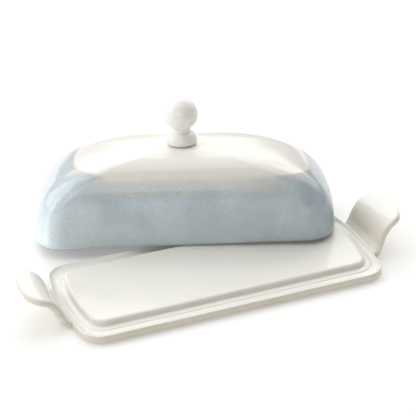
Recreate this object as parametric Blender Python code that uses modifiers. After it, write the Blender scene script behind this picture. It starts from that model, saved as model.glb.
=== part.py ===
"""Butter dish: a low tray with two upturned handles, and a loaf-shaped lid with a ball knob.

The tray stands on z = 0 with its centre on the Z axis and its long side along X. The lid has
been lifted off and set down askew: its front rim lies on the tray's raised middle and its back
corner stands on the table.
"""
import math

import bmesh
import bpy
from mathutils import Matrix, Vector

MM = 0.001
GAP = 0.3 * MM

# Tray. Each tier is a rectangle with bowed ends: half length to the end's apex, half width,
# how far the end bows out, and the corner radius.
BODY_OUTLINE = (102.0 * MM, 43.0 * MM, 6.2 * MM, 9.0 * MM)
PLATEAU_OUTLINE = (92.4 * MM, 31.3 * MM, 3.8 * MM, 11.0 * MM)
SEAT_WIDTH = 4.6 * MM
LIP_WIDTH = 2.2 * MM
FOOT_INSET = 1.4 * MM
LIP_HEIGHT = 6.2 * MM
LEDGE_HEIGHT = 5.2 * MM
SEAT_HEIGHT = 5.6 * MM
PLATEAU_HEIGHT = 9.0 * MM
PLATEAU_ROUNDING = 1.5 * MM
WELD = 0.01 * MM

# Handles: a strap of clay that leaves the tray's end wall, turns up and curls outward.
# Each station is, in millimetres: distance from the strap's root, height, half width, and how
# much higher its +Y edge is than its middle.
HANDLE_ROOT = 96.0 * MM
HANDLE_THICKNESS = 5.2 * MM
RIGHT_HANDLE_OFFSET = 1.4 * MM
LEFT_HANDLE = (
    (0.0, 3.0, 21.0, 0.0),
    (6.5, 2.9, 21.0, 0.0),
    (9.5, 7.0, 20.0, 0.0),
    (12.0, 14.0, 18.7, 0.0),
    (16.5, 19.3, 19.2, 0.0),
    (22.0, 21.2, 19.3, -0.5),
    (27.2, 22.0, 16.0, -1.0),
    (30.2, 22.4, 9.5, -1.0),
)
RIGHT_HANDLE = (
    (0.0, 3.0, 22.0, 0.0),
    (6.5, 2.9, 22.0, 0.0),
    (9.0, 7.5, 21.6, 0.0),
    (11.0, 14.5, 21.0, -0.5),
    (14.3, 20.2, 21.6, -1.5),
    (19.0, 23.2, 22.0, -2.5),
    (24.2, 25.0, 18.0, -2.5),
    (27.0, 25.8, 10.5, -2.5),
)

# Lid, in its own frame: rim on z = 0, long side along X.
LID_HEIGHT = 57.2 * MM
LID_HALF_LENGTH = 97.3 * MM
LID_HALF_WIDTH = 36.6 * MM
LID_END_BOW = 3.6 * MM
LID_CORNER = 14.0 * MM
LID_WALL = 3.5 * MM
RIM_TUCK = 0.7 * MM
RIM_TUCK_SHARE = 0.1
END_PROFILE = (2.9, 2.75)
SIDE_PROFILE = (6.5, 10.0)
END_SLOPE = 0.024

# Knob: ball, waist and flared foot. It stands a little in front of the middle of the lid.
KNOB_OFFSET = -2.2 * MM
KNOB_BALL_RADIUS = 10.5 * MM
KNOB_WAIST_RADIUS = 5.6 * MM
KNOB_FOOT_RADIUS = 9.7 * MM
KNOB_BALL_HEIGHT = 20.0 * MM
KNOB_WAIST_HEIGHT = 9.0 * MM
KNOB_FOOT_EDGE = 1.6 * MM
KNOB_BALL_END = math.radians(-52.0)
KNOB_BALL_STEPS = 12
KNOB_FLARE_STEPS = 6
KNOB_TURN_STEPS = 28

# Where the lid has been set down.
LID_POSITION = Vector((4.2, 61.1, 5.5)) * MM
LID_YAW = math.radians(-20.8)
LID_END_TILT = math.radians(1.42)
LID_BACK_TILT = math.radians(5.87)

CREAM = (0.80, 0.78, 0.71)
BLUE_GREY = (0.46, 0.52, 0.54)


def main():
    for old in list(bpy.data.objects):
        bpy.data.objects.remove(old, do_unlink=True)
    parts = new_collection("butter_dish")
    cutters = new_collection("cutters")
    cream = glaze("cream_glaze", CREAM)
    make_tray(parts, cutters, cream)
    make_handle(parts, cutters, cream, "handle_left", LEFT_HANDLE, -1.0, 0.0)
    make_handle(parts, cutters, cream, "handle_right", RIGHT_HANDLE, 1.0, RIGHT_HANDLE_OFFSET)
    lid_frame = bpy.data.objects.new("lid_frame", None)
    lid_frame.matrix_world = lid_pose()
    parts.objects.link(lid_frame)
    make_lid_shell(parts, lid_frame, glaze("blue_grey_glaze", BLUE_GREY))
    make_knob(parts, lid_frame, glaze("knob_glaze", CREAM))


def new_collection(name):
    collection = bpy.data.collections.new(name)
    bpy.context.scene.collection.children.link(collection)
    return collection


def glaze(name, colour):
    material = bpy.data.materials.new(name)
    material.use_nodes = True
    shader = material.node_tree.nodes["Principled BSDF"]
    shader.inputs["Base Color"].default_value = (*colour, 1.0)
    shader.inputs["Roughness"].default_value = 0.12
    shader.inputs["Metallic"].default_value = 0.0
    return material


def outline(half_length, half_width, end_bow, corner, steps=8):
    """Points of a rectangle with bowed ends and round corners, anticlockwise from +X."""
    end_radius = (half_width ** 2 + end_bow ** 2) / (2.0 * end_bow)
    end_centre = half_length - end_radius
    reach = math.sqrt((end_radius - corner) ** 2 - (half_width - corner) ** 2)
    corner_x = end_centre + reach
    meet = math.asin((half_width - corner) / (end_radius - corner))
    quarter = []
    for i in range(steps):
        angle = meet * i / steps
        quarter.append((end_centre + end_radius * math.cos(angle), end_radius * math.sin(angle)))
    for i in range(steps + 1):
        angle = meet + (math.pi / 2.0 - meet) * i / steps
        quarter.append((corner_x + corner * math.cos(angle),
                        half_width - corner + corner * math.sin(angle)))
    upper = quarter + [(-x, y) for x, y in reversed(quarter)]
    return upper + [(-x, -y) for x, y in upper[1:-1]]


def grown(shape, distance):
    """The same outline moved outward by a distance."""
    half_length, half_width, end_bow, corner = shape
    return (half_length + distance, half_width + distance, end_bow, corner + distance)


def mesh_object(name, mesh, collection):
    obj = bpy.data.objects.new(name, mesh)
    collection.objects.link(obj)
    return obj


def slab(name, shape, bottom, top, collection):
    """A flat slab of an outline, between two heights, as a welded mesh."""
    curve = bpy.data.curves.new(name, "CURVE")
    curve.dimensions = "2D"
    curve.fill_mode = "BOTH"
    curve.extrude = (top - bottom) / 2.0
    points = outline(*shape)
    spline = curve.splines.new("POLY")
    spline.points.add(len(points) - 1)
    for point, (x, y) in zip(spline.points, points):
        point.co = (x, y, 0.0, 1.0)
    spline.use_cyclic_u = True
    guide = mesh_object(name + "_outline", curve, collection)
    guide.location.z = (bottom + top) / 2.0
    bpy.context.view_layer.update()
    evaluated = guide.evaluated_get(bpy.context.evaluated_depsgraph_get())
    mesh = bpy.data.meshes.new_from_object(evaluated)
    work = bmesh.new()
    work.from_mesh(mesh)
    bmesh.ops.remove_doubles(work, verts=work.verts, dist=WELD)
    bmesh.ops.dissolve_limit(work, angle_limit=math.radians(0.5), verts=work.verts, edges=work.edges)
    bmesh.ops.recalc_face_normals(work, faces=work.faces)
    work.to_mesh(mesh)
    work.free()
    obj = mesh_object(name, mesh, collection)
    obj.matrix_world = guide.matrix_world
    bpy.data.objects.remove(guide, do_unlink=True)
    return obj


def add_boolean(obj, cutter, operation):
    modifier = obj.modifiers.new(cutter.name, "BOOLEAN")
    modifier.operation = operation
    modifier.object = cutter
    modifier.solver = "EXACT"


def add_bevel(obj, width, segments):
    modifier = obj.modifiers.new("round_edges", "BEVEL")
    modifier.width = width
    modifier.segments = segments
    modifier.limit_method = "ANGLE"
    modifier.angle_limit = math.radians(40.0)


def hide_cutter(obj):
    obj.hide_render = True
    obj.display_type = "WIRE"


def make_tray(parts, cutters, material):
    """Body slab with a dished ledge, the lid's seat and the raised middle."""
    tray = slab("tray", BODY_OUTLINE, 0.0, LIP_HEIGHT, parts)
    tray.data.materials.append(material)
    add_bevel(tray, FOOT_INSET, 3)
    well = slab("well_cutter", grown(BODY_OUTLINE, -LIP_WIDTH), LEDGE_HEIGHT, 2.0 * LIP_HEIGHT, cutters)
    seat_shape = grown(PLATEAU_OUTLINE, SEAT_WIDTH)
    seat = slab("seat_tier", seat_shape, LEDGE_HEIGHT / 2.0, SEAT_HEIGHT, cutters)
    plateau = slab("plateau_tier", PLATEAU_OUTLINE, LEDGE_HEIGHT / 2.0, PLATEAU_HEIGHT, cutters)
    add_bevel(plateau, PLATEAU_ROUNDING, 3)
    add_boolean(tray, well, "DIFFERENCE")
    add_boolean(tray, seat, "UNION")
    add_boolean(tray, plateau, "UNION")
    for cutter in (well, seat, plateau):
        hide_cutter(cutter)


def make_handle(parts, cutters, material, name, stations, side, offset):
    """A strap of clay through its stations, cut to the tray's end wall.

    side is 1 for the +X end and -1 for the other; offset is how far along Y the strap sits.
    """
    work = bmesh.new()
    rows = []
    for distance, height, half_width, lean in stations:
        x = side * (HANDLE_ROOT + distance * MM)
        rows.append([work.verts.new((x, offset + share * half_width * MM, (height + share * lean) * MM))
                     for share in (-1.0, -0.5, 0.5, 1.0)])
    for row, following in zip(rows, rows[1:]):
        for i in range(len(row) - 1):
            work.faces.new((row[i], following[i], following[i + 1], row[i + 1]))
    bmesh.ops.recalc_face_normals(work, faces=work.faces)
    mesh = bpy.data.meshes.new(name)
    work.to_mesh(mesh)
    work.free()
    mesh.shade_smooth()
    handle = mesh_object(name, mesh, parts)
    handle.data.materials.append(material)
    solidify = handle.modifiers.new("thickness", "SOLIDIFY")
    solidify.thickness = HANDLE_THICKNESS
    solidify.offset = 0.0
    solidify.use_even_offset = True
    add_subdivision(handle, 2)
    wall = slab(name + "_root_cutter", grown(BODY_OUTLINE, GAP), -LIP_HEIGHT, 3.0 * LIP_HEIGHT, cutters)
    hide_cutter(wall)
    add_boolean(handle, wall, "DIFFERENCE")


def add_subdivision(obj, levels):
    modifier = obj.modifiers.new("soften", "SUBSURF")
    modifier.levels = levels
    modifier.render_levels = levels


def profile(share, exponents):
    """How much of its half size a section keeps at a share of the lid's height."""
    rise, spread = exponents
    return (1.0 - share ** rise) ** (1.0 / spread)


def profile_height(share, exponents):
    """The height share at which a section has shrunk to a share of its half size."""
    rise, spread = exponents
    return (1.0 - min(abs(share), 1.0) ** spread) ** (1.0 / rise)


def ring_points(half_length, half_width, end_bow, corner, along, across):
    """One level of the lid, anticlockwise from the middle of its +X -Y corner.

    Each corner is two spans, and its middle point is a corner of the grid that closes the top.
    """
    end_radius = (half_width ** 2 + end_bow ** 2) / (2.0 * end_bow)
    end_centre = half_length - end_radius
    corner_y = half_width - corner
    meet = math.asin(corner_y / (end_radius - corner))
    corner_x = end_centre + (end_radius - corner) * math.cos(meet)
    half_turn = (meet + math.pi / 2.0) / 2.0

    def on_corner(angle):
        return (corner_x + corner * math.cos(angle), corner_y + corner * math.sin(angle))

    upper_corner = on_corner(half_turn)
    end = [(upper_corner[0], -upper_corner[1])]
    for i in range(across - 1):
        angle = meet * (2.0 * i / (across - 2) - 1.0)
        end.append((end_centre + end_radius * math.cos(angle), end_radius * math.sin(angle)))
    side = [upper_corner]
    for i in range(along - 1):
        side.append((corner_x * (1.0 - 2.0 * i / (along - 2)), half_width))
    half = end + side
    return half + [(-x, -y) for x, y in half]


def lid_ring(share, along, across):
    """The lid's outer surface at a share of its height."""
    tuck = RIM_TUCK * max(0.0, 1.0 - share / RIM_TUCK_SHARE) ** 2
    half_length = LID_HALF_LENGTH * profile(share, END_PROFILE) - tuck
    half_width = LID_HALF_WIDTH * profile(share, SIDE_PROFILE) - tuck
    squeeze = half_width / LID_HALF_WIDTH
    points = ring_points(half_length, half_width, LID_END_BOW * squeeze, LID_CORNER * squeeze,
                         along, across)
    return [(x, y, sloped(x, share)) for x, y in points]


def sloped(x, share):
    """A height share as a height: one end of the lid is a little lower than the other."""
    return share * LID_HEIGHT * (1.0 - END_SLOPE * x / LID_HALF_LENGTH)


def lid_surface(shares, along, across):
    """The lid's outer surface: rings up to the shoulder, and a grid that closes the top."""
    work = bmesh.new()
    rings = [[work.verts.new(point) for point in lid_ring(share, along, across)]
             for share in shares]
    for low, high in zip(rings, rings[1:]):
        for i in range(len(low)):
            j = (i + 1) % len(low)
            work.faces.new((low[i], low[j], high[j], high[i]))
    top = rings[-1]
    top_share = shares[-1]
    right = top[:across + 1]
    back = top[across:across + along + 1]
    left = top[across + along:2 * across + along + 1]
    front = top[2 * across + along:] + top[:1]
    grid = [[None] * (across + 1) for _ in range(along + 1)]
    for j in range(across + 1):
        grid[along][j] = right[j]
        grid[0][j] = left[across - j]
    for i in range(along + 1):
        grid[i][0] = front[i]
        grid[i][across] = back[along - i]
    for i in range(1, along):
        for j in range(1, across):
            grid[i][j] = work.verts.new(top_point(grid, i, j, along, across, top_share))
    for i in range(along):
        for j in range(across):
            work.faces.new((grid[i][j], grid[i + 1][j], grid[i + 1][j + 1], grid[i][j + 1]))
    bmesh.ops.recalc_face_normals(work, faces=work.faces)
    if max(work.faces, key=lambda face: face.calc_center_median().z).normal.z < 0.0:
        bmesh.ops.reverse_faces(work, faces=work.faces)
    return work


def top_point(grid, i, j, along, across, top_share):
    """A point of the top grid: spread between the ring's points, on the crown's height."""
    u = i / along
    v = j / across
    sides = grid[0][j].co * (1.0 - u) + grid[along][j].co * u
    ends = grid[i][0].co * (1.0 - v) + grid[i][across].co * v
    corners = ((grid[0][0].co * (1.0 - u) + grid[along][0].co * u) * (1.0 - v)
               + (grid[0][across].co * (1.0 - u) + grid[along][across].co * u) * v)
    point = sides + ends - corners
    crown_x = profile_height(point.x / LID_HALF_LENGTH, END_PROFILE) - top_share
    crown_y = profile_height(point.y / LID_HALF_WIDTH, SIDE_PROFILE) - top_share
    crown = max(crown_x, 0.0) * max(crown_y, 0.0) / (1.0 - top_share)
    return Vector((point.x, point.y, sloped(point.x, top_share + crown)))


def lid_pose():
    """The lid's frame where it has been set down."""
    return (Matrix.Translation(LID_POSITION)
            @ Matrix.Rotation(LID_YAW, 4, "Z")
            @ Matrix.Rotation(-LID_END_TILT, 4, "Y")
            @ Matrix.Rotation(-LID_BACK_TILT, 4, "X"))


def make_lid_shell(parts, lid_frame, material):
    shares = (0.0, 0.035, 0.12, 0.36, 0.6, 0.78, 0.89, 0.955)
    work = lid_surface(shares, along=10, across=6)
    mesh = bpy.data.meshes.new("lid_shell")
    work.to_mesh(mesh)
    work.free()
    mesh.shade_smooth()
    shell = mesh_object("lid_shell", mesh, parts)
    shell.parent = lid_frame
    shell.data.materials.append(material)
    solidify = shell.modifiers.new("wall", "SOLIDIFY")
    solidify.thickness = LID_WALL
    solidify.offset = -1.0
    solidify.use_even_offset = True
    add_subdivision(shell, 1)


def knob_profile():
    """The knob's outer side, from the top of the ball down to the foot, above the lid's crown."""
    points = []
    for i in range(KNOB_BALL_STEPS + 1):
        angle = math.pi / 2.0 + (KNOB_BALL_END - math.pi / 2.0) * i / KNOB_BALL_STEPS
        points.append((KNOB_BALL_RADIUS * math.cos(angle),
                       KNOB_BALL_HEIGHT + KNOB_BALL_RADIUS * math.sin(angle)))
    points[0] = (0.0, KNOB_BALL_HEIGHT + KNOB_BALL_RADIUS)
    points.append((KNOB_WAIST_RADIUS, KNOB_WAIST_HEIGHT))
    for i in range(1, KNOB_FLARE_STEPS + 1):
        share = i / KNOB_FLARE_STEPS
        radius = KNOB_WAIST_RADIUS + (KNOB_FOOT_RADIUS - KNOB_WAIST_RADIUS) * share ** 2
        height = KNOB_WAIST_HEIGHT + (KNOB_FOOT_EDGE - KNOB_WAIST_HEIGHT) * share
        points.append((radius, height))
    points.append((KNOB_FOOT_RADIUS, GAP))
    points.append((0.0, GAP))
    return points


def make_knob(parts, lid_frame, material):
    work = bmesh.new()
    verts = [work.verts.new((radius, 0.0, height)) for radius, height in knob_profile()]
    for upper, lower in zip(verts, verts[1:]):
        work.edges.new((upper, lower))
    mesh = bpy.data.meshes.new("lid_knob")
    work.to_mesh(mesh)
    work.free()
    knob = mesh_object("lid_knob", mesh, parts)
    knob.data.materials.append(material)
    knob.parent = lid_frame
    knob.location = (0.0, KNOB_OFFSET, LID_HEIGHT)
    screw = knob.modifiers.new("turn", "SCREW")
    screw.steps = KNOB_TURN_STEPS
    screw.render_steps = KNOB_TURN_STEPS
    screw.use_merge_vertices = True
    screw.merge_threshold = WELD
    screw.use_smooth_shade = True


main()
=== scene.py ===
"""Looks of the butter dish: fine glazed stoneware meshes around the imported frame.

The tray stands on z = 0 with its long side along X. The lid is modelled in its own frame, rim on
z = 0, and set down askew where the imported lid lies. All sizes are in metres.
"""
import math

import bmesh
import bpy
from mathutils import Matrix, Vector, noise

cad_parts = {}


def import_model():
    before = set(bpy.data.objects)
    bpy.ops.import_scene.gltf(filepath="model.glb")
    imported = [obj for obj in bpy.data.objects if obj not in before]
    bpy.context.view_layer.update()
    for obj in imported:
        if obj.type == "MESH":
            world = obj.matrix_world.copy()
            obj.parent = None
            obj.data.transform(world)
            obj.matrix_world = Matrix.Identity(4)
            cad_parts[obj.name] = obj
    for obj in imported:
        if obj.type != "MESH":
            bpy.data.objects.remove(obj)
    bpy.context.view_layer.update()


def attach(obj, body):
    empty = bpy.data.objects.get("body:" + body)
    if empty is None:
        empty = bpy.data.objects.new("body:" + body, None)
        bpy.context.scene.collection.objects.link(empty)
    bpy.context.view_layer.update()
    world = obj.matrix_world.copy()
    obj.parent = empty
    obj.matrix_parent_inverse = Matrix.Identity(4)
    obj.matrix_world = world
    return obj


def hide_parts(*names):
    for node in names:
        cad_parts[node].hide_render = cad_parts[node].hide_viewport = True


MM = 0.001

# Tray tiers: half length to the end's apex, half width, how far the end bows out, corner radius.
BODY_OUTLINE = (102.0 * MM, 43.0 * MM, 5.6 * MM, 14.0 * MM)
PLATEAU_OUTLINE = (92.4 * MM, 31.3 * MM, 3.8 * MM, 9.0 * MM)

# Handle stations, in millimetres: distance from the root, height, half width, and how much
# higher the +Y edge is than the middle. The tip rounds off over its last length.
HANDLE_ROOT = 96.0 * MM
HANDLE_THICKNESS = 5.2 * MM
HANDLE_TIP_LENGTH = 10.5 * MM
HANDLE_TIP_SHAPE = 2.4
HANDLE_EDGE_STEPS = 10
HANDLE_PATH_STEPS = 8
RIGHT_HANDLE_OFFSET = 1.4 * MM
LEFT_HANDLE = (
    (3.4, 2.8, 20.4, 0.0),
    (6.8, 2.9, 21.0, 0.0),
    (9.5, 7.0, 20.0, 0.0),
    (12.0, 14.0, 18.7, 0.0),
    (16.5, 19.3, 19.2, 0.0),
    (21.5, 21.2, 19.8, -0.5),
    (27.3, 22.2, 19.4, -1.0),
)
RIGHT_HANDLE = (
    (3.4, 2.8, 21.4, 0.0),
    (6.8, 2.9, 22.0, 0.0),
    (9.0, 7.5, 21.6, 0.0),
    (11.0, 14.5, 21.0, -0.5),
    (14.3, 20.2, 21.6, -1.5),
    (18.8, 23.2, 22.0, -2.5),
    (24.4, 25.3, 21.6, -2.5),
)

# Lid, in its own frame.
LID_HEIGHT = 57.2 * MM
LID_HALF_LENGTH = 97.3 * MM
LID_HALF_WIDTH = 36.6 * MM
LID_END_BOW = 3.6 * MM
LID_CORNER = 18.5 * MM
RIM_CORNER_TIGHTER = 3.3 * MM
LID_WALL = 3.5 * MM
RIM_TUCK = 0.7 * MM
RIM_TUCK_SHARE = 0.1
END_PROFILE = (2.75, 2.6)
SIDE_PROFILE = (3.3, 4.0)
END_SLOPE = 0.024
LID_TOP_SHARE = 0.9996

# The cream patch on the lid's crown, in plan: a core rectangle grown by a round corner.
CROWN_MIDDLE = 5.5 * MM
CROWN_CORE = (48.8 * MM, 5.6 * MM)
CROWN_CORNER = 26.0 * MM

# Where the lid has been set down.
LID_POSITION = Vector((4.2, 61.1, 5.5)) * MM
LID_YAW = math.radians(-20.8)
LID_END_TILT = math.radians(1.42)
LID_BACK_TILT = math.radians(5.87)

# Knob.
KNOB_OFFSET = -2.2 * MM
KNOB_BALL_RADIUS = 10.9 * MM
KNOB_WAIST_RADIUS = 5.6 * MM
KNOB_FOOT_RADIUS = 9.7 * MM
KNOB_BALL_HEIGHT = 19.6 * MM
KNOB_WAIST_HEIGHT = 8.6 * MM

# Camera: direction of view, depth of the origin, and how far the origin lies right of and
# below the view axis.
CAMERA_AZIMUTH = math.radians(22.6)
CAMERA_PITCH = math.radians(29.9)
ORIGIN_DEPTH = 0.996
ORIGIN_RIGHT = 0.0046
ORIGIN_BELOW = 0.0434
CAMERA_LENS = 138.46

# Glazes and clay.
GLAZE_IOR = 1.52
CREAM = (0.83, 0.80, 0.715)
CREAM_WARM = (0.85, 0.845, 0.80)
CREAM_CLOUD = (0.835, 0.825, 0.775)
# The three tans below are painted on upright faces as shade; the tray's and the knob's also tint
# the fine grain, and the tray's also tints the lid's rim.
TRAY_TAN = (0.68, 0.635, 0.52)
CROWN_SHADE_TAN = (0.72, 0.67, 0.565)
KNOB_TAN = (0.84, 0.825, 0.77)
BLUE_GREY = (0.56, 0.64, 0.67)
BLUE_THIN = (0.53, 0.62, 0.665)
# The next colour darkens the blue at random and, towards +X, as painted shade.
BLUE_DRIFT_AND_SHADE = (0.38, 0.455, 0.50)
# The next colour is painted light, paling the -X end.
BLUE_PAINTED_LIGHT = (0.645, 0.695, 0.71)
BLUE_MOTTLE = (0.605, 0.68, 0.73)
BLUE_PATCH = (0.365, 0.43, 0.47)
BLUE_SPECK = (0.33, 0.41, 0.45)
BLUE_LIGHT = (0.68, 0.755, 0.80)
# The next colour is a painted shade line at the shoulder.
SHOULDER_SHADE_GREY = (0.555, 0.585, 0.59)
SHOULDER_TAN = (0.57, 0.565, 0.525)
BISCUIT = (0.72, 0.64, 0.52)
BISCUIT_PALE = (0.74, 0.67, 0.55)
BISCUIT_DARK = (0.64, 0.56, 0.44)

# Studio.
FLOOR_WHITE = (0.80, 0.80, 0.80)
FLOOR_GLOW = 0.195
FLOOR_SIZE = 6.0
WORLD_COLOUR = (1.0, 0.95, 0.86)
WORLD_STRENGTH = 0.21


def main():
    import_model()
    set_camera()
    set_stage()
    cream = cream_glaze("cream_glaze", TRAY_TAN)
    add_piece(make_tray(cream, biscuit()), "tray", "tray")
    left = make_handle("handle_left_glazed", LEFT_HANDLE, -1.0, 0.0, cream)
    add_piece(left, "tray", "handle_left")
    right = make_handle("handle_right_glazed", RIGHT_HANDLE, 1.0, RIGHT_HANDLE_OFFSET, cream)
    add_piece(right, "tray", "handle_right")
    add_piece(make_lid(lid_glaze()), "lid", "lid_shell")
    knob = make_knob(cream_glaze("knob_glaze", KNOB_TAN))
    add_piece(knob, "lid", "lid_knob")


def add_piece(piece, body, node):
    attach(piece, body)
    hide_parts(node)


# Camera, floor and light

def set_camera():
    right = Vector((math.cos(CAMERA_AZIMUTH), -math.sin(CAMERA_AZIMUTH), 0.0))
    level = Vector((math.sin(CAMERA_AZIMUTH), math.cos(CAMERA_AZIMUTH), 0.0))
    forward = level * math.cos(CAMERA_PITCH) - Vector((0.0, 0.0, math.sin(CAMERA_PITCH)))
    up = right.cross(forward)
    place = -(right * ORIGIN_RIGHT - up * ORIGIN_BELOW + forward * ORIGIN_DEPTH)
    camera = bpy.data.objects.new("camera", bpy.data.cameras.new("camera"))
    camera.data.lens = CAMERA_LENS
    camera.data.sensor_width = 36.0
    camera.data.clip_start = 0.01
    turn = Matrix((right, up, -forward)).transposed().to_4x4()
    camera.matrix_world = Matrix.Translation(place) @ turn
    bpy.context.scene.collection.objects.link(camera)
    bpy.context.scene.camera = camera


def set_stage():
    scene = bpy.context.scene
    scene.view_settings.view_transform = "Standard"
    add_floor()
    middle = (0.0, 0.03, 0.02)
    add_softbox("softbox_back", (0.50, 1.20, 1.00), middle, (2.2, 1.4), 16.2, (1.0, 1.0, 1.0))
    add_softbox("softbox_top", (-0.10, 0.25, 1.60), middle, (1.8, 1.8), 11.3, (0.99, 0.99, 1.0))
    add_softbox("softbox_left", (-1.12, 0.55, 0.65), middle, (1.5, 1.1), 11.4, (0.98, 0.99, 1.0))
    add_softbox("softbox_right", (1.25, 0.40, 0.70), middle, (0.9, 1.1), 4.2, (1.0, 0.99, 0.97))
    add_softbox("softbox_front", (-0.90, -1.20, 0.75), middle, (1.2, 0.8), 5.5, (1.0, 1.0, 1.0))
    add_softbox("card_left", (-0.159, 0.063, 0.068), (-0.082, 0.063, 0.132), (0.011, 0.175),
                0.014, (0.97, 0.99, 1.0))
    world = bpy.data.worlds.new("studio")
    world.use_nodes = True
    background = world.node_tree.nodes["Background"]
    background.inputs["Color"].default_value = (*WORLD_COLOUR, 1.0)
    background.inputs["Strength"].default_value = WORLD_STRENGTH
    scene.world = world


def add_floor():
    """A white light table: it glows a little, so that shadows on it stay pale."""
    work = bmesh.new()
    bmesh.ops.create_grid(work, x_segments=1, y_segments=1, size=FLOOR_SIZE)
    mesh = bpy.data.meshes.new("floor")
    work.to_mesh(mesh)
    work.free()
    floor = bpy.data.objects.new("floor", mesh)
    bpy.context.scene.collection.objects.link(floor)
    material = bpy.data.materials.new("floor_paper")
    material.use_nodes = True
    shader = material.node_tree.nodes["Principled BSDF"]
    shader.inputs["Base Color"].default_value = (*FLOOR_WHITE, 1.0)
    shader.inputs["Roughness"].default_value = 0.9
    shader.inputs["Specular IOR Level"].default_value = 0.0
    shader.inputs["Emission Color"].default_value = (1.0, 1.0, 1.0, 1.0)
    shader.inputs["Emission Strength"].default_value = FLOOR_GLOW
    mesh.materials.append(material)


def add_softbox(name, place, target, size, power, colour):
    """A rectangular area light at place that faces target."""
    light = bpy.data.lights.new(name, "AREA")
    light.shape = "RECTANGLE"
    light.size, light.size_y = size
    light.energy = power
    light.color = colour
    lamp = bpy.data.objects.new(name, light)
    lamp.location = place
    lamp.visible_camera = False
    aim = Vector(target) - Vector(place)
    lamp.rotation_euler = aim.to_track_quat("-Z", "Y").to_euler()
    bpy.context.scene.collection.objects.link(lamp)


# Node helpers

class Shader:
    """A material's node tree, with short ways to add and join nodes."""

    def __init__(self, name, colour, roughness):
        self.material = bpy.data.materials.new(name)
        self.material.use_nodes = True
        self.tree = self.material.node_tree
        self.surface = self.tree.nodes["Principled BSDF"]
        self.surface.inputs["Base Color"].default_value = (*colour, 1.0)
        self.surface.inputs["Roughness"].default_value = roughness
        self.place = self.add("ShaderNodeAttribute", attribute_name="place").outputs["Vector"]

    def add(self, kind, **values):
        node = self.tree.nodes.new(kind)
        for key, value in values.items():
            setattr(node, key, value)
        return node

    def join(self, source, target):
        self.tree.links.new(source, target)

    def noise(self, size, detail=2.0, roughness=0.5, distortion=0.0):
        """Noise whose features are about size metres across."""
        node = self.add("ShaderNodeTexNoise")
        node.inputs["Scale"].default_value = 1.0 / size
        node.inputs["Detail"].default_value = detail
        node.inputs["Roughness"].default_value = roughness
        node.inputs["Distortion"].default_value = distortion
        self.join(self.place, node.inputs["Vector"])
        return node.outputs["Fac"]

    def math(self, operation, *values):
        node = self.add("ShaderNodeMath", operation=operation)
        for socket, value in zip(node.inputs, values):
            self.feed(value, socket)
        return node.outputs["Value"]

    def fade(self, value, start, end, low=0.0, high=1.0, smooth=True):
        """value from start to end becomes low to high, and holds outside."""
        node = self.add("ShaderNodeMapRange")
        node.interpolation_type = "SMOOTHSTEP" if smooth else "LINEAR"
        for name, setting in (("Value", value), ("From Min", start), ("From Max", end),
                              ("To Min", low), ("To Max", high)):
            self.feed(setting, node.inputs[name])
        return node.outputs["Result"]

    def mix(self, share, first, second, blend="MIX"):
        node = self.add("ShaderNodeMix", data_type="RGBA", blend_type=blend)
        self.feed(share, node.inputs["Factor"])
        self.feed(first, node.inputs[6])
        self.feed(second, node.inputs[7])
        return node.outputs[2]

    def feed(self, value, socket):
        if isinstance(value, bpy.types.NodeSocket):
            self.join(value, socket)
        elif isinstance(value, tuple):
            socket.default_value = (*value, 1.0)
        else:
            socket.default_value = value

    def bump(self, height, distance, strength=1.0, after=None):
        node = self.add("ShaderNodeBump")
        node.inputs["Distance"].default_value = distance
        node.inputs["Strength"].default_value = strength
        self.join(height, node.inputs["Height"])
        if after is not None:
            self.join(after, node.inputs["Normal"])
        return node.outputs["Normal"]

    def finish(self, colour, roughness, normal):
        self.join(colour, self.surface.inputs["Base Color"])
        self.join(roughness, self.surface.inputs["Roughness"])
        self.join(normal, self.surface.inputs["Normal"])
        return self.material


# Materials

def cream_glaze(name, shade_and_grain_tan):
    """Warm white glaze with a slight ripple, fine grain, and tan painted on upright faces as
    shade.
    """
    glaze = Shader(name, CREAM, 0.12)
    glaze.surface.inputs["IOR"].default_value = GLAZE_IOR
    axes = glaze.add("ShaderNodeSeparateXYZ")
    glaze.join(glaze.place, axes.inputs["Vector"])
    # Less of the painted tan shade between 6 and 9.2 mm up, on the plateau's wall.
    step = glaze.math("MULTIPLY", glaze.fade(axes.outputs["Z"], 5.0 * MM, 6.0 * MM),
                      glaze.fade(axes.outputs["Z"], 10.5 * MM, 9.2 * MM))
    colour = creamy(glaze, shade_and_grain_tan, step)
    grain = glaze.fade(glaze.noise(1.6 * MM, 2.0), 0.62, 0.74)
    colour = glaze.mix(glaze.math("MULTIPLY", grain, 0.14), colour, shade_and_grain_tan)
    rough = glaze.fade(glaze.noise(14 * MM, 2.0), 0.35, 0.7, 0.08, 0.14)
    ripple = glaze.bump(glaze.noise(11 * MM, 2.0), 0.25 * MM, 0.3)
    normal = glaze.bump(glaze.noise(2.2 * MM, 1.0), 0.04 * MM, 0.2, after=ripple)
    return glaze.finish(colour, rough, normal)


def creamy(glaze, shade_and_grain_tan, less_shade=0.0):
    """Cloudy cream, with tan painted on upright faces as shade, less of it where the last argument
    is 1.
    """
    clouds = glaze.fade(glaze.noise(38 * MM, 3.0), 0.3, 0.7)
    cream = glaze.mix(clouds, CREAM_WARM, CREAM_CLOUD)
    facing = glaze.add("ShaderNodeSeparateXYZ")
    glaze.join(glaze.add("ShaderNodeNewGeometry").outputs["Normal"], facing.inputs["Vector"])
    # Upright faces are painted tan as shade, at a random strength.
    upright = glaze.fade(facing.outputs["Z"], 0.93, 0.25)
    patchy = glaze.fade(glaze.noise(7 * MM, 2.0), 0.3, 0.7, 0.75, 1.0)
    bare = glaze.math("SUBTRACT", patchy, glaze.math("MULTIPLY", less_shade, 0.45))
    return glaze.mix(glaze.math("MULTIPLY", upright, bare), cream, shade_and_grain_tan)


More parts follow.
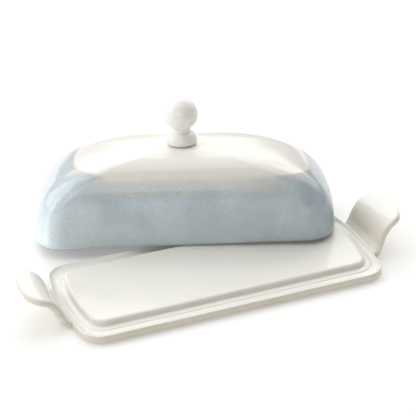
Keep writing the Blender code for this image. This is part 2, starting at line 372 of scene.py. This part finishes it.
def biscuit():
    """The wiped, unglazed clay of the foot."""
    clay = Shader("biscuit_foot", BISCUIT, 0.8)
    sand = clay.noise(0.8 * MM, 4.0, 0.65)
    colour = clay.mix(clay.fade(sand, 0.35, 0.65), BISCUIT_PALE, BISCUIT_DARK)
    rough = clay.fade(sand, 0.3, 0.7, 0.72, 0.92)
    return clay.finish(colour, rough, clay.bump(sand, 0.12 * MM, 0.6))


def lid_glaze():
    """Blue-grey speckled glaze, dipped up to the shoulder, over the cream of the crown."""
    glaze = Shader("dipped_glaze", BLUE_GREY, 0.12)
    glaze.surface.inputs["IOR"].default_value = GLAZE_IOR
    axes = glaze.add("ShaderNodeSeparateXYZ")
    glaze.join(glaze.place, axes.inputs["Vector"])
    wave = glaze.math("MULTIPLY", glaze.math("SUBTRACT", glaze.noise(30 * MM, 2.0), 0.5), 1.3 * MM)
    past = past_crown(glaze, axes, wave)
    upper = glaze.fade(axes.outputs["Z"], 30 * MM, 36 * MM)
    crown = glaze.math("MULTIPLY", upper, glaze.fade(past, 1.0 * MM, -1.3 * MM))
    # The crown's cream is painted tan on its upright faces as shade.
    colour = glaze.mix(crown, dipped_blue(glaze, axes, past, upper), creamy(glaze, CROWN_SHADE_TAN))
    rim = glaze.fade(glaze.math("ADD", axes.outputs["Z"], wave), 0.9 * MM, 0.1 * MM)
    colour = glaze.mix(glaze.math("MULTIPLY", rim, 0.8), colour, TRAY_TAN)
    rough = glaze.fade(glaze.noise(14 * MM, 2.0), 0.35, 0.7, 0.09, 0.17)
    ripple = glaze.bump(glaze.noise(13 * MM, 2.0), 0.3 * MM, 0.4)
    normal = glaze.bump(glaze.noise(1.9 * MM, 1.0), 0.05 * MM, 0.3, after=ripple)
    return glaze.finish(colour, rough, normal)


def past_crown(glaze, axes, wave):
    """How far outside the cream patch a point lies, in plan, with a wavy edge."""
    across = glaze.math("ABSOLUTE", axes.outputs["Y"])
    along = glaze.math("ABSOLUTE", glaze.math("SUBTRACT", axes.outputs["X"], CROWN_MIDDLE))
    beside = glaze.math("MAXIMUM", glaze.math("SUBTRACT", across, CROWN_CORE[1]), 0.0)
    beyond = glaze.math("MAXIMUM", glaze.math("SUBTRACT", along, CROWN_CORE[0]), 0.0)
    reach = glaze.math("SQRT", glaze.math("ADD", glaze.math("MULTIPLY", beside, beside),
                                          glaze.math("MULTIPLY", beyond, beyond)))
    return glaze.math("ADD", glaze.math("SUBTRACT", reach, CROWN_CORNER), wave)


def dipped_blue(glaze, axes, past, upper):
    """The blue-grey: darker at random and as painted shade towards +X, paler at -X as painted
    light, with soft darker patches, mottled, a painted shade line and thin at the shoulder.
    """
    drift = glaze.fade(glaze.noise(55 * MM, 1.0), 0.35, 0.65, 0.0, 0.5)
    # Painted shade: the blue darkens towards the +X end.
    plus_x_shade = glaze.fade(axes.outputs["X"], 32 * MM, 64 * MM, 0.0, 0.8)
    blue = glaze.mix(glaze.math("ADD", drift, plus_x_shade), BLUE_THIN, BLUE_DRIFT_AND_SHADE)
    # Painted light: the blue pales towards the -X end, where the light falls.
    minus_x_light = glaze.fade(axes.outputs["X"], -50 * MM, -92 * MM, 0.0, 0.6)
    blue = glaze.mix(minus_x_light, blue, BLUE_PAINTED_LIGHT)
    mottle = glaze.fade(glaze.noise(13 * MM, 3.0, 0.55), 0.3, 0.7)
    blue = glaze.mix(glaze.math("MULTIPLY", mottle, 0.45), blue, BLUE_MOTTLE)
    # Soft darker patches at random.
    dark_patch = glaze.fade(glaze.noise(30 * MM, 1.0, 0.4, 0.3), 0.50, 0.66)
    blue = glaze.mix(glaze.math("MULTIPLY", dark_patch, 0.5), blue, BLUE_PATCH)
    # Painted shade: a grey line where the wall turns into the shoulder.
    shoulder_shade = glaze.fade(past, 10.8 * MM, 9.6 * MM)
    blue = glaze.mix(glaze.math("MULTIPLY", shoulder_shade, 0.22), blue, SHOULDER_SHADE_GREY)
    thin = glaze.math("MULTIPLY", upper, glaze.fade(past, 7.0 * MM, 0.5 * MM))
    blue = glaze.mix(glaze.math("MULTIPLY", thin, 0.65), blue, SHOULDER_TAN)
    speck = glaze.fade(glaze.noise(1.2 * MM, 2.0, 0.65), 0.46, 0.66)
    blue = glaze.mix(glaze.math("MULTIPLY", speck, 0.34), blue, BLUE_SPECK)
    light = glaze.fade(glaze.noise(1.5 * MM, 2.0, 0.65, 0.4), 0.52, 0.70)
    return glaze.mix(glaze.math("MULTIPLY", light, 0.24), blue, BLUE_LIGHT)


# Meshes

def piece_from(work, name, materials):
    """A smooth-shaded object from a bmesh."""
    mesh = bpy.data.meshes.new(name)
    work.to_mesh(mesh)
    work.free()
    mesh.shade_smooth()
    for material in materials:
        mesh.materials.append(material)
    obj = bpy.data.objects.new(name, mesh)
    bpy.context.scene.collection.objects.link(obj)
    return obj


def uneven(obj, size, amount, seed):
    """Pushes points in along their normals by a soft noise, as hand-worked clay is uneven."""
    shift = Vector((seed, 2.0 * seed, -seed))
    places = [vertex.co.copy() for vertex in obj.data.vertices]
    normals = [normal.vector.copy() for normal in obj.data.vertex_normals]
    for i, (place, normal) in enumerate(zip(places, normals)):
        push = 0.5 + 0.5 * noise.noise(place / size + shift)
        places[i] = place - normal * amount * push
    obj.data.vertices.foreach_set("co", [x for place in places for x in place])
    obj.data.update()


def set_down(obj, pose=Matrix.Identity(4)):
    """Keeps each point's place on the piece for its glaze, then moves the mesh to its pose."""
    places = [x for vertex in obj.data.vertices for x in vertex.co]
    keep = obj.data.attributes.new("place", "FLOAT_VECTOR", "POINT")
    keep.data.foreach_set("vector", places)
    obj.data.transform(pose)
    obj.data.update()
    return obj


def outline(shape, end_steps=26, corner_steps=14, side_steps=34):
    """Points of a rectangle with bowed ends and round corners, anticlockwise from +X."""
    half_length, half_width, end_bow, corner = shape
    end_radius = (half_width ** 2 + end_bow ** 2) / (2.0 * end_bow)
    end_centre = half_length - end_radius
    meet = math.asin((half_width - corner) / (end_radius - corner))
    corner_x = end_centre + (end_radius - corner) * math.cos(meet)
    quarter = []
    for i in range(end_steps):
        angle = meet * i / end_steps
        quarter.append((end_centre + end_radius * math.cos(angle), end_radius * math.sin(angle)))
    for i in range(corner_steps):
        angle = meet + (math.pi / 2.0 - meet) * i / corner_steps
        quarter.append((corner_x + corner * math.cos(angle),
                        half_width - corner + corner * math.sin(angle)))
    for i in range(side_steps):
        quarter.append((corner_x * (1.0 - i / side_steps), half_width))
    upper = quarter + [(0.0, half_width)] + [(-x, y) for x, y in reversed(quarter)]
    return upper + [(-x, -y) for x, y in upper[1:-1]]


def grown(shape, distance):
    """The same outline moved outward by a distance."""
    half_length, half_width, end_bow, corner = shape
    return (half_length + distance, half_width + distance, end_bow, corner + distance)


def filleted(points, steps=5):
    """A profile with each inner corner replaced by a round curve; points are (x, z, reach)."""
    result = [points[0][:2]]
    for before, here, after in zip(points, points[1:], points[2:]):
        corner = Vector(here[:2])
        arrive = Vector(before[:2]) - corner
        leave = Vector(after[:2]) - corner
        first = corner + arrive.normalized() * min(here[2], 0.5 * arrive.length)
        last = corner + leave.normalized() * min(here[2], 0.5 * leave.length)
        for i in range(steps + 1):
            share = i / steps
            point = first * (1 - share) ** 2 + corner * 2 * share * (1 - share) + last * share ** 2
            result.append(tuple(point))
    result.append(points[-1][:2])
    return result


def tray_rings():
    """Levels of the tray from the foot's middle, up the outside, and in over the top."""
    body = filleted([(-12.0, 0.0, 0.0), (-3.4, 0.0, 0.5), (-2.8, 0.9, 0.5), (-0.3, 1.3, 0.8),
                     (0.0, 4.4, 2.0), (-0.8, 6.2, 0.8), (-2.4, 4.9, 1.2), (-3.4, 4.6, 0.0)])
    seat = filleted([(4.75, 4.55, 0.0), (4.5, 4.6, 0.15), (3.9, 5.15, 0.6), (0.8, 5.2, 0.7),
                     (0.0, 7.8, 1.8), (-0.9, 9.0, 1.0), (-2.6, 8.9, 0.8), (-6.0, 8.85, 0.0)])
    rings = [[(x * 0.3, y * 0.3, 0.0) for x, y in outline(BODY_OUTLINE)]]
    rings += [level(BODY_OUTLINE, offset, height) for offset, height in body]
    rings += [level(PLATEAU_OUTLINE, offset, height) for offset, height in seat]
    for share in (0.72, 0.45, 0.2):
        rings.append([(x * share, y * share, 8.8 * MM) for x, y, _ in rings[-1]])
    return rings


def level(shape, offset, height):
    """One ring of an outline, moved out by offset and up by height, both in millimetres."""
    return [(x, y, height * MM) for x, y in outline(grown(shape, offset * MM))]


def lofted(rings, tips=(None, None)):
    """A closed body through rings of equally many points, with a fan over each end.

    A fan's middle is the tip given for that end, or else the middle of the end's ring."""
    work = bmesh.new()
    loops = [[work.verts.new(point) for point in ring] for ring in rings]
    for low, high in zip(loops, loops[1:]):
        for i in range(len(low)):
            j = (i + 1) % len(low)
            work.faces.new((low[i], low[j], high[j], high[i]))
    for loop, tip in zip((loops[0], loops[-1]), tips):
        middle = work.verts.new(tip or sum((vert.co for vert in loop), Vector()) / len(loop))
        for here, following in zip(loop, loop[1:] + loop[:1]):
            work.faces.new((here, following, middle))
    bmesh.ops.recalc_face_normals(work, faces=work.faces)
    return work


def make_tray(glazed, bare):
    work = lofted(tray_rings())
    for face in work.faces:
        if face.calc_center_median().z < 0.01 * MM:
            face.material_index = 1
    tray = piece_from(work, "tray_glazed", (glazed, bare))
    for vertex in tray.data.vertices:
        if vertex.co.z > 1.4 * MM:
            wave = noise.noise(vertex.co * 22.0 + Vector((3.0, 1.0, 0.0)))
            vertex.co.z -= 0.16 * MM * (1.0 + wave)
    return set_down(tray)


def smoothed(points, steps):
    """A cubic B-spline led by the points, from the first to the last."""
    guides = [points[0] * 2.0 - points[1], *points, points[-1] * 2.0 - points[-2]]
    result = []
    for first, second, third, fourth in zip(guides, guides[1:], guides[2:], guides[3:]):
        for i in range(steps):
            t = i / steps
            result.append((first * (1.0 - t) ** 3
                           + second * (3.0 * t ** 3 - 6.0 * t ** 2 + 4.0)
                           + third * (-3.0 * t ** 3 + 3.0 * t ** 2 + 3.0 * t + 1.0)
                           + fourth * t ** 3) / 6.0)
    return result + [points[-1].copy()]


def strap_ring(station, along, half, left):
    """The strap's flat oval at a station; half is half its thickness, left the way to its tip."""
    distance, height, half_width, lean = station
    near_tip = max(0.0, 1.0 - left / HANDLE_TIP_LENGTH)
    narrowed = (1.0 - near_tip ** HANDLE_TIP_SHAPE) ** (1.0 / HANDLE_TIP_SHAPE)
    flat = half_width * narrowed - half
    steps = HANDLE_EDGE_STEPS
    turns = [math.pi * (1.0 - 0.5 * i / steps) for i in range(steps)]
    upper = [(-flat + half * math.cos(turn), half * math.sin(turn)) for turn in turns]
    upper += [(flat * (i / steps - 1.0), half) for i in range(steps + 1)]
    upper += [(-y, up) for y, up in reversed(upper[:-1])]
    oval = upper + [(y, -up) for y, up in reversed(upper[1:-1])]
    return [(distance - up * along.y, y, height + up * along.x + lean * y / half_width)
            for y, up in oval]


def make_handle(name, stations, side, offset, material):
    """A round-edged strap of clay; its root is buried in the tray's end wall."""
    path = smoothed([Vector(station) * MM for station in stations], HANDLE_PATH_STEPS)
    half = HANDLE_THICKNESS / 2.0
    left = half + sum((after - before).xy.length for before, after in zip(path, path[1:]))
    rings = []
    for before, station, after in zip(path[:1] + path, path, path[1:] + path[-1:]):
        left -= (station - before).xy.length
        along = (after - before).xy.normalized()
        rings.append(strap_ring(station, along, half, left))
    for i in range(1, HANDLE_EDGE_STEPS):
        turn = math.pi / 2.0 * i / HANDLE_EDGE_STEPS
        reach = along * half * math.sin(turn)
        station = path[-1] + Vector((reach.x, reach.y, 0.0, 0.0))
        rings.append(strap_ring(station, along, half * math.cos(turn), half - reach.length))
    placed = [[(side * (HANDLE_ROOT + x), offset + y, z) for x, y, z in ring] for ring in rings]
    handle = piece_from(lofted(placed), name, (material,))
    uneven(handle, 12.0 * MM, 0.35 * MM, 4.0 + side)
    return set_down(handle)


def profile(share, exponents):
    """How much of its half size a section keeps at a share of the lid's height."""
    rise, spread = exponents
    return (1.0 - share ** rise) ** (1.0 / spread)


def lid_ring(share, inset=0.0, tuck=0.0, tighter=0.0):
    """One level of the lid, at a share of its height; the inside is the same form, inset."""
    length = (LID_HALF_LENGTH - inset) * profile(share, END_PROFILE) - tuck
    width = (LID_HALF_WIDTH - inset) * profile(share, SIDE_PROFILE) - tuck
    squeeze = min(width / LID_HALF_WIDTH, length / LID_HALF_LENGTH)
    corner = (LID_CORNER - 0.5 * inset) * (0.45 + 0.55 * squeeze) - tighter
    corner = min(corner, 0.9 * length, 0.9 * width)
    shape = (length, width, LID_END_BOW * width / LID_HALF_WIDTH, corner)
    height = share * (LID_HEIGHT - inset)
    return [(x, y, sloped(x, height)) for x, y in outline(shape, 12, 14, 34)]


def sloped(x, height):
    """One end of the lid is a little lower than the other."""
    return height * (1.0 - END_SLOPE * x / LID_HALF_LENGTH)


def lid_levels(low):
    """Height shares from low to the crown, close together wherever a wall turns."""
    steps = 44
    turns = [math.pi / 2.0 * (i + 0.5) / steps for i in range(steps)]
    shares = [math.sin(turn) ** (2.0 / rise) for turn in turns
              for rise, _ in (END_PROFILE, SIDE_PROFILE)]
    chosen = [low]
    for share in sorted(shares) + [LID_TOP_SHARE]:
        if share > chosen[-1] + 0.0006 and share <= LID_TOP_SHARE:
            chosen.append(share)
    return chosen


def lid_rings():
    """Levels of the lid from the crown down the outside, round the rim, and up the inside."""
    half_wall = LID_WALL / 2.0
    outer = lid_levels(half_wall / LID_HEIGHT)
    inner = lid_levels(half_wall / (LID_HEIGHT - LID_WALL))
    rings = [lid_ring(share, tuck=rim_tuck(share)) for share in reversed(outer)]
    rim_steps = 8
    for i in range(1, rim_steps):
        turn = math.pi * i / rim_steps
        tuck = RIM_TUCK + half_wall * (1.0 - math.cos(turn))
        tighter = (RIM_CORNER_TIGHTER + half_wall) * (1.0 - math.cos(turn)) / 2.0
        ring = lid_ring(half_wall / LID_HEIGHT, tuck=tuck, tighter=tighter)
        drop = half_wall * math.sin(turn)
        rings.append([(x, y, z - drop) for x, y, z in ring])
    rings += [lid_ring(share, LID_WALL, rim_tuck(share), inside_tighter(share)) for share in inner]
    return rings


def inside_tighter(share):
    """How much tighter the inside's corners are near the rim, to clear the raised middle."""
    rise = min(1.0, max(0.0, (share - 0.08) / 0.4))
    return RIM_CORNER_TIGHTER * (1.0 - rise * rise * (3.0 - 2.0 * rise))


def rim_tuck(share):
    """How far the wall turns in towards the rim."""
    return RIM_TUCK * max(0.0, 1.0 - share / RIM_TUCK_SHARE) ** 2


def lid_pose():
    """The lid's frame where it has been set down."""
    return (Matrix.Translation(LID_POSITION)
            @ Matrix.Rotation(LID_YAW, 4, "Z")
            @ Matrix.Rotation(-LID_END_TILT, 4, "Y")
            @ Matrix.Rotation(-LID_BACK_TILT, 4, "X"))


def make_lid(material):
    lid = piece_from(lofted(lid_rings()), "lid_glazed", (material,))
    uneven(lid, 42.0 * MM, 0.7 * MM, 7.0)
    return set_down(lid, lid_pose())


def knob_profile():
    """The knob's outer side, from the top of the ball down to the foot."""
    neck = 0.98
    steps = 40
    points = []
    for i in range(steps + 1):
        angle = math.pi / 2.0 - (math.pi / 2.0 + neck) * i / steps
        points.append((KNOB_BALL_RADIUS * math.cos(angle),
                       KNOB_BALL_HEIGHT + KNOB_BALL_RADIUS * math.sin(angle)))
    waist = (KNOB_WAIST_RADIUS, KNOB_WAIST_HEIGHT)
    shoulder = (6.9 * MM, 7.4 * MM)
    points += bend(points[-1], (KNOB_WAIST_RADIUS, points[-1][1] - 1.0 * MM), waist)
    points += bend(waist, (KNOB_WAIST_RADIUS + 0.2 * MM, 8.0 * MM), shoulder)
    points += bend(shoulder, (KNOB_FOOT_RADIUS - 0.4 * MM, 5.8 * MM), (KNOB_FOOT_RADIUS, 1.7 * MM))
    for i in range(1, 9):
        angle = math.pi / 2.0 * i / 8
        points.append((KNOB_FOOT_RADIUS - 0.7 * MM + 0.7 * MM * math.cos(angle),
                       1.7 * MM - 1.4 * MM * math.sin(angle)))
    points.append((0.0, 0.3 * MM))
    return points


def bend(start, pull, end, steps=12):
    """A curve from start to end, drawn towards pull; the start itself is left out."""
    points = []
    for i in range(1, steps + 1):
        share = i / steps
        points.append(tuple(Vector(start) * (1 - share) ** 2
                            + Vector(pull) * 2 * share * (1 - share) + Vector(end) * share ** 2))
    return points


def make_knob(material):
    (_, top), *sides, (_, bottom) = knob_profile()
    turns = [2.0 * math.pi * i / 96 for i in range(96)]
    rings = [[Vector((radius * math.cos(turn), radius * math.sin(turn), height)) for turn in turns]
             for radius, height in sides]
    work = lofted(rings, tips=(Vector((0.0, 0.0, top)), Vector((0.0, 0.0, bottom))))
    knob = piece_from(work, "knob_glazed", (material,))
    uneven(knob, 9.0 * MM, 0.25 * MM, 11.0)
    return set_down(knob, lid_pose() @ Matrix.Translation((0.0, KNOB_OFFSET, LID_HEIGHT)))


main()
